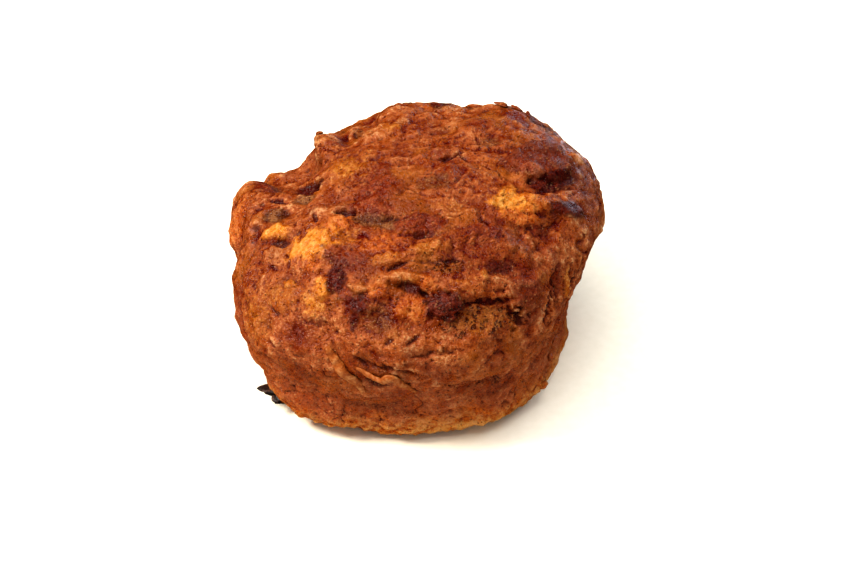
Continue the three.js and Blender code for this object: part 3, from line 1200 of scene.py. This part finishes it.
@dataclass
class Muffin:
    """The baked body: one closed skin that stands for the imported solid.

    Attributes:
        name: The piece's name.
        node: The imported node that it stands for.
        cuts: How often each edge of the starting cube is cut.
        gather: How far the fine mesh is drawn towards the front crown, where the detail is, as a share.
        facet_passes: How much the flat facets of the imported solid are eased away.
        crease_depth: How deep the creases between the lumps are, in millimetres.
        pore_depth: How deep the pores are, in millimetres.
        fold_width: How wide a fold of the wall is, in millimetres.
        fold_length: How long it is, in millimetres.
        fold_height: How high it stands, in millimetres.
        wall_radius: How far the wall is from the core, in millimetres.
        wall_degree: How long one degree round the core is on the wall, in millimetres.
        globe: The globe that its spots are placed on.
        finish: Its material.
    """

    name: str = "muffin_body"
    node: str = "muffin"
    cuts: int = 127
    gather: float = 0.3
    facet_passes: int = 130
    crease_depth: float = 0.35
    pore_depth: float = 0.45
    fold_width: float = 2.6
    fold_length: float = 9.0
    fold_height: float = 0.5
    wall_radius: float = 36.0
    wall_degree: float = 0.62
    globe: Globe = field(default_factory=Globe)
    finish: CrustFinish = field(default_factory=CrustFinish)

    def packed_skin(self) -> BVHTree:
        """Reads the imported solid.

        Returns:
            A search tree over a merged copy of it.
        """
        copy = bmesh.new()
        copy.from_mesh(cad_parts[self.node].data)
        bmesh.ops.remove_doubles(copy, verts=copy.verts, dist=0.01 * MM)
        tree = BVHTree.FromBMesh(copy)
        copy.free()
        return tree

    def wrapped_cube(self) -> bpy.types.Mesh:
        """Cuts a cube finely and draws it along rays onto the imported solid.

        Returns:
            The mesh.
        """
        packed = self.packed_skin()
        core = Vector(self.globe.core) * MM
        front = self.globe.ray(0, 0)
        cube = bmesh.new()
        bmesh.ops.create_cube(cube, size=2.0)
        bmesh.ops.subdivide_edges(cube, edges=cube.edges, cuts=self.cuts, use_grid_fill=True)
        for vert in cube.verts:
            ray = Vector([math.tan(part * math.pi / 4) for part in vert.co]).normalized()
            vert.co = packed.ray_cast(core, (ray + self.gather * front).normalized())[0]
        bmesh.ops.recalc_face_normals(cube, faces=cube.faces)
        return smooth_mesh(cube, self.name)

    def crumble(self, skin: Skin) -> None:
        """Raises the lumps, folds and pores of the crumb all over the skin.

        Args:
            skin: The skin to sculpt.
        """
        normals = skin.normals()
        free = skin.free_of_foot(4.0)
        fine_free = 0.25 + 0.75 * skin.free_of_foot(1.5)
        warp = 1.5 * np.stack([noise_at(skin.places + shift, 6.0) for shift in (11.0, 37.0, 71.0)], axis=1)
        lumps = BROAD_LUMPS.heights(skin.places + warp) + SMALL_LUMPS.heights(skin.places + warp)
        # Near the foot the crags stand about twice as high as elsewhere.
        crags = CRAGS.heights(skin.places) * (2.2 - 1.2 * skin.free_of_foot(12.0))
        crags += GRIT.heights(skin.places)
        crease = 1.0 - soft_step(0.0, 0.13, np.abs(noise_at(skin.places + 5.0 + 2.0 * warp, 7.0, 2.0)))
        crease *= soft_step(-0.05, 0.25, noise_at(skin.places + 130.0, 8.0, 1.0))
        pores = pores_at(skin.places, 3.4, 0.3) + 0.7 * pores_at(skin.places + 30.0, 1.9, 0.25)
        folds = self.folds(skin)
        broad = (lumps + folds - self.crease_depth * crease) * free
        skin.swell(broad + (crags - self.pore_depth * pores) * fine_free, normals)
        # Painted shade: the pores and creases are marked to be darkened.
        skin.deepen(Look.SHADED_HOLLOW, 0.5 * pores + 0.3 * crease)

    def folds(self, skin: Skin) -> Rows:
        """Finds the long low folds that run round the wall, side by side.

        Args:
            skin: The skin that they are on.

        Returns:
            How high they stand at each vertex, in millimetres.
        """
        rays = skin.places - np.array(self.globe.core)
        rays /= np.linalg.norm(rays, axis=1)[:, None]
        out = rays @ np.array(self.globe.ray(0, 0))
        round_x = rays @ np.array(self.globe.ray(90, 0))
        round_y = rays @ np.array(self.globe.ray(0, 90))
        slope = np.degrees(np.arccos(np.clip(out, -1.0, 1.0)))
        down = slope * self.wall_degree / self.fold_width
        round_the_wall = [turn * self.wall_radius / self.fold_length for turn in (round_x, round_y)]
        stretched = np.stack([down, *round_the_wall], axis=1)
        return self.fold_height * soft_step(25.0, 60.0, slope) * noise_at(stretched, 1.0, 2.0)

    def build(self) -> bpy.types.Object:
        """Makes, sculpts, paints and dresses the body.

        Returns:
            The finished piece.
        """
        mesh = self.wrapped_cube()
        skin = Skin(mesh, self.globe)
        skin.places = skin.eased(skin.places, self.facet_passes)
        skin.hold_foot()
        skin.press(FORM_SPOTS, BROAD_WOBBLE)
        self.crumble(skin)
        skin.press(FRONT_SPOTS, FINE_WOBBLE)
        chance = random.Random(UNSEEN_SEED)
        skin.press([spot for scatter in UNSEEN for spot in scatter.spots(self.globe, chance)], FINE_WOBBLE)
        skin.finish()
        piece = adopt(mesh, self.finish.make())
        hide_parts(self.node)
        return piece


class Ground:
    """The finished skin, as something to lay other pieces on."""

    def __init__(self, piece: bpy.types.Object, globe: Globe) -> None:
        """Reads the skin.

        Args:
            piece: The finished body.
            globe: The globe that places are given on.
        """
        skin = bmesh.new()
        skin.from_mesh(piece.data)
        self.tree = BVHTree.FromBMesh(skin)
        skin.free()
        self.globe = globe
        self.core = Vector(globe.core) * MM

    def place(self, east: float, north: float) -> Vector:
        """Where the skin is at an east and a north."""
        return self.tree.ray_cast(self.core, self.globe.ray(east, north))[0]

    def frame(self, east: float, north: float) -> Matrix:
        """Axes on the skin: its columns point east, north and outward.

        Args:
            east: The east of the place, in degrees.
            north: Its north, in degrees.

        Returns:
            The axes, moved to the place.
        """
        step = 2.5  # degrees to each side, where the skin is felt for its tilt
        eastward = self.place(east + step, north) - self.place(east - step, north)
        northward = self.place(east, north + step) - self.place(east, north - step)
        outward = eastward.cross(northward).normalized()
        eastward.normalize()
        northward = outward.cross(eastward)
        axes = Matrix((eastward, northward, outward)).transposed().to_4x4()
        return Matrix.Translation(self.place(east, north)) @ axes


@dataclass(frozen=True)
class Shred:
    """A shred of carrot half sunk in the skin, along a route over the globe.

    Attributes:
        name: The piece's name.
        route: The east and north of points along it, in degrees.
        half_width: Half its width in the middle, in millimetres.
        half_depth: Half its thickness, in millimetres.
        lift: How far its centre line lies above the skin, in millimetres.
        cuts: How often it is cut across.
        sides: How many sides it has.
    """

    name: str
    route: tuple[tuple[float, float], ...]
    half_width: float
    half_depth: float
    lift: float
    cuts: int = 40
    sides: int = 14

    def stations(self, ground: Ground) -> list[Matrix]:
        """Finds evenly spaced points along the route, eased into one smooth line.

        Args:
            ground: The skin that the route runs over.

        Returns:
            Axes on the skin at each end and at each cut.
        """
        points = []
        for i in range(self.cuts + 2):
            along = (len(self.route) - 1) * i / (self.cuts + 1)
            first = min(int(along), len(self.route) - 2)
            share = along - first
            start, end = self.route[first], self.route[first + 1]
            points.append([a + (b - a) * share for a, b in zip(start, end)])
        for _ in range(6):
            trios = zip(points, points[1:], points[2:])
            inner = [[(a + 2 * b + c) / 4 for a, b, c in zip(*trio)] for trio in trios]
            points = [points[0], *inner, points[-1]]
        return [ground.frame(east, north) for east, north in points]

    def centre(self, seat: Matrix, share: float) -> Vector:
        """A point of the centre line, which sinks into the skin at both ends."""
        arch = math.sin(math.pi * share) ** 0.45
        return seat @ Vector((0, 0, (self.lift * arch - self.half_depth * (1.0 - arch)) * MM))

    def build(self, ground: Ground, finish: bpy.types.Material) -> bpy.types.Object:
        """Bends a tapered bar along the route.

        Args:
            ground: The skin that it lies on.
            finish: Its material.

        Returns:
            The finished piece.
        """
        last = self.cuts + 1
        seats = self.stations(ground)
        centres = [self.centre(seat, i / last) for i, seat in enumerate(seats)]
        bar = bmesh.new()
        bmesh.ops.create_cone(bar, cap_ends=True, segments=self.sides, radius1=1.0, radius2=1.0, depth=1.0)
        long_edges = [edge for edge in bar.edges if abs(edge.verts[0].co.z - edge.verts[1].co.z) > 0.5]
        bmesh.ops.subdivide_edges(bar, edges=long_edges, cuts=self.cuts)
        for vert in bar.verts:
            share = vert.co.z + 0.5
            index = round(share * last)
            onward = (centres[min(index + 1, last)] - centres[max(index - 1, 0)]).normalized()
            outward = seats[index].col[2].to_3d()
            sideways = outward.cross(onward).normalized()
            taper = math.sin(math.pi * (0.04 + 0.92 * share)) ** 0.6
            rough = 1.0 + 0.35 * noise.noise(Vector((share * 9.0, vert.co.x, vert.co.y + len(self.name))))
            across = vert.co.x * self.half_width * taper * rough * MM
            up = vert.co.y * self.half_depth * taper * rough * MM
            vert.co = centres[index] + sideways * across + outward * up
        return adopt(smooth_mesh(bar, self.name), finish)


@dataclass(frozen=True)
class Scrap:
    """A lump or flake stuck to the skin.

    Attributes:
        east: Where it is stuck, in degrees.
        north: Where it is stuck, in degrees.
        sizes: Half its length, width and height, in millimetres.
        turn: How far it is turned on the skin, counterclockwise from east, in degrees.
        lean: How far it is tipped up out of the skin, in degrees.
        lift: How far its middle lies above the skin, in millimetres.
    """

    east: float
    north: float
    sizes: tuple[float, float, float]
    turn: float
    lean: float
    lift: float

    def add_to(self, shape: bmesh.types.BMesh, ground: Ground) -> None:
        """Adds the scrap to a shape that holds a heap of them.

        Args:
            shape: The shape.
            ground: The skin that the scrap is stuck to.
        """
        made = bmesh.ops.create_icosphere(shape, subdivisions=3, radius=1.0)["verts"]
        seat = ground.frame(self.east, self.north)
        turn = Matrix.Rotation(math.radians(self.turn), 4, "Z")
        lean = Matrix.Rotation(math.radians(-self.lean), 4, "Y")
        rise = Matrix.Translation((0, 0, self.lift * MM))
        for vert in made:
            spread = vert.co * 1.1 + Vector((self.east, self.north, self.turn))
            lump = 1.0 + 0.45 * noise.noise(spread) + 0.2 * noise.noise(spread * 2.7)
            sized = Vector([part * size * lump * MM for part, size in zip(vert.co, self.sizes)])
            vert.co = seat @ rise @ turn @ lean @ sized


@dataclass(frozen=True)
class Heap:
    """A number of scraps that make one piece.

    Attributes:
        name: The piece's name.
        scraps: The scraps.
    """

    name: str
    scraps: tuple[Scrap, ...]

    def build(self, ground: Ground, finish: bpy.types.Material) -> bpy.types.Object:
        """Makes the scraps and dresses them.

        Args:
            ground: The skin that they are stuck to.
            finish: Their material.

        Returns:
            The finished piece.
        """
        shape = bmesh.new()
        for scrap in self.scraps:
            scrap.add_to(shape, ground)
        return adopt(smooth_mesh(shape, self.name), finish)


SHREDS = (
    Shred(
        "shred_on_the_left",
        ((-29, -24), (-27, -30), (-25, -35), (-23, -40), (-22, -45)),
        half_width=1.1,
        half_depth=0.45,
        lift=0.35,
    ),
    Shred(
        "shred_in_the_middle",
        ((-21, -33), (-16, -35), (-11, -36), (-7, -34), (-4, -39), (1, -48)),
        half_width=0.8,
        half_depth=0.45,
        lift=0.55,
    ),
)

SCORCHED = Heap(
    "scorched_scraps",
    (
        Scrap(-80, -41, (2.7, 1.9, 0.8), 70, 40, 0.6),
        Scrap(-78, -44, (2.2, 1.4, 0.8), 30, 20, 0.5),
    ),
)

CRUMBS = Heap(
    "stuck_crumbs",
    (
        Scrap(73, -30, (1.2, 0.8, 0.7), 20, 10, 0.4),
        Scrap(72, -36, (0.8, 0.6, 0.5), 70, 0, 0.3),
        Scrap(71, -44, (1.0, 0.7, 0.6), 40, 20, 0.4),
        Scrap(88, 58, (1.5, 1.0, 0.4), 80, 0, 0.3),
        Scrap(88, 53, (1.3, 0.8, 0.35), 80, 10, 0.3),
        Scrap(88, 49, (0.9, 0.6, 0.3), 60, 20, 0.3),
        Scrap(-90, 56, (0.9, 0.8, 0.4), 30, 0, 0.2),
    ),
)


# ---------------------------------------------------------------- the studio


@dataclass(frozen=True)
class SoftLamp:
    """A square soft lamp that faces the muffin.

    Attributes:
        name: Its name.
        place: Where it hangs, in metres.
        side: How wide it is, in metres.
        power: How bright it is, in watts.
        tint: Its colour.
        mirrored: Whether glossy surfaces mirror it.
    """

    name: str
    place: tuple[float, float, float]
    side: float
    power: float
    tint: tuple[float, float, float] = (1.0, 1.0, 1.0)
    mirrored: bool = True

    def hang(self, target: Vector) -> None:
        """Adds the lamp.

        Args:
            target: What it is turned to.
        """
        lamp = bpy.data.lights.new(self.name, "AREA")
        lamp.shape = "SQUARE"
        lamp.size = self.side
        lamp.energy = self.power
        lamp.color = self.tint
        holder = put_in_scene(self.name, lamp)
        holder.location = self.place
        holder.visible_glossy = self.mirrored
        holder.rotation_euler = (target - Vector(self.place)).to_track_quat("-Z", "Y").to_euler()


@dataclass
class Studio:
    """The floor, the soft light and the camera.

    Attributes:
        floor_side: How wide the floor is, in metres.
        camera_place: Where the camera stands, in metres.
        camera_pitch: How far the camera looks down, in degrees.
        camera_roll: How far the camera leans over, in degrees.
        lens: Its focal length for a 36 mm wide sensor, in millimetres.
        sky: How bright the light from all around is.
        lit_height: The height that the lamps are turned to, in metres.
        lamps: The soft lamps.
    """

    floor_side: float = 4.0
    camera_place: tuple[float, float, float] = (0.0024, -0.2591, 0.2237)
    camera_pitch: float = 39.0
    camera_roll: float = -2.0
    lens: float = 70.05
    sky: float = 0.45
    lit_height: float = 0.02
    lamps: tuple[SoftLamp, ...] = (
        SoftLamp("window_left", (-0.46, -0.08, 0.55), 0.2, 6.8, (1.0, 0.95, 0.88)),
        SoftLamp("window_right", (0.5, 0.15, 0.45), 0.2, 0.8, (0.75, 0.85, 1.0)),
        SoftLamp("window_behind", (0.42, 0.62, 0.16), 0.3, 1.6, (0.72, 0.82, 1.0)),
        SoftLamp("ceiling_lamp", (0.0, -0.15, 0.9), 0.6, 6.0, mirrored=False),
    )

    def stand_camera(self) -> None:
        """Stands the camera in front of the muffin, looking down at it."""
        view = bpy.data.cameras.new("camera")
        view.lens = self.lens
        view.clip_start = 0.01
        holder = put_in_scene("camera", view)
        down = Matrix.Rotation(math.radians(90.0 - self.camera_pitch), 4, "X")
        lean = Matrix.Rotation(math.radians(self.camera_roll), 4, "Z")
        holder.matrix_world = Matrix.Translation(self.camera_place) @ down @ lean
        bpy.context.scene.camera = holder

    def lay_floor(self) -> None:
        """Lays a plain pale floor under the muffin."""
        sheet = bmesh.new()
        bmesh.ops.create_grid(sheet, x_segments=1, y_segments=1, size=self.floor_side / 2)
        mesh = smooth_mesh(sheet, "floor")
        mesh.materials.append(FloorFinish().make())
        floor = put_in_scene("floor", mesh)
        # A pale floor mirrored low on the wall would lie on the crust like a grey film.
        floor.visible_glossy = False

    def light(self) -> None:
        """Sets the light from all around and hangs the lamps."""
        world = bpy.data.worlds.new("studio_sky")
        world.use_nodes = True
        backdrop = world.node_tree.nodes["Background"]
        backdrop.inputs["Color"].default_value = (1.0, 1.0, 1.0, 1.0)
        backdrop.inputs["Strength"].default_value = self.sky
        world.cycles_visibility.glossy = False
        bpy.context.scene.world = world
        for lamp in self.lamps:
            lamp.hang(Vector((0.0, 0.0, self.lit_height)))

    def build(self) -> None:
        """Sets up the whole studio."""
        self.stand_camera()
        self.lay_floor()
        self.light()
        bpy.context.scene.view_settings.view_transform = "Standard"
        bpy.context.scene.view_settings.look = "Medium High Contrast"


def main() -> None:
    """Builds the studio and the muffin, and reports each piece."""
    logging.basicConfig(level=logging.INFO, format="%(message)s")
    Studio().build()
    muffin = Muffin()
    body = muffin.build()
    ground = Ground(body, muffin.globe)
    carrot = ShredFinish().make()
    pieces = [body]
    pieces += [shred.build(ground, carrot) for shred in SHREDS]
    pieces.append(SCORCHED.build(ground, ScorchFinish().make()))
    pieces.append(CRUMBS.build(ground, muffin.finish.make()))
    for piece in pieces:
        LOG.info("%s: %d faces", piece.name, len(piece.data.polygons))


if __name__ == "__main__":
    main()
